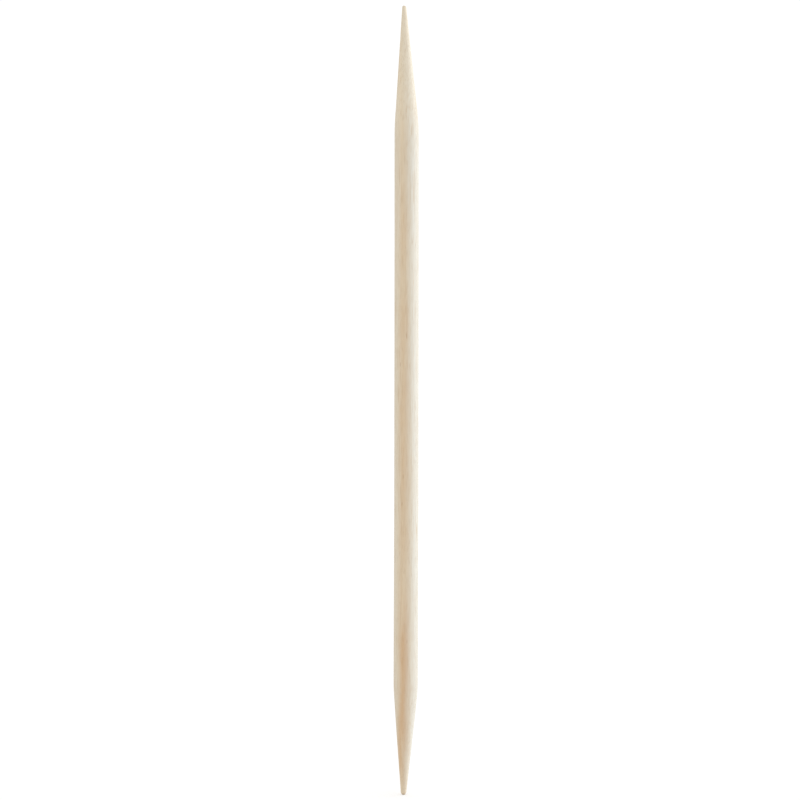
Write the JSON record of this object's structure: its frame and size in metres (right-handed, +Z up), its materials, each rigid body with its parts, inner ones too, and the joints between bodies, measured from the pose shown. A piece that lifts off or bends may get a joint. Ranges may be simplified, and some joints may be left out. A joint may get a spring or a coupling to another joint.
{
  "type": "cuticle pusher",
  "caption": "Plain round birch cuticle stick with a straight shaft and a long conical point at each end.",
  "frame": {"origin": "on the axis, at the middle of the stick's length", "axes": "+Z up along the stick, towards its finer point; X and Y are alike, because the stick is round"},
  "size_m": [0.0036, 0.0034, 0.1142],
  "materials": {
    "birch": "bare sanded pale birch, matt, with a faint sheen along the grain"
  },
  "bodies": {
    "root": {"wooden_stick": "birch"}
  },
  "joints": []
}
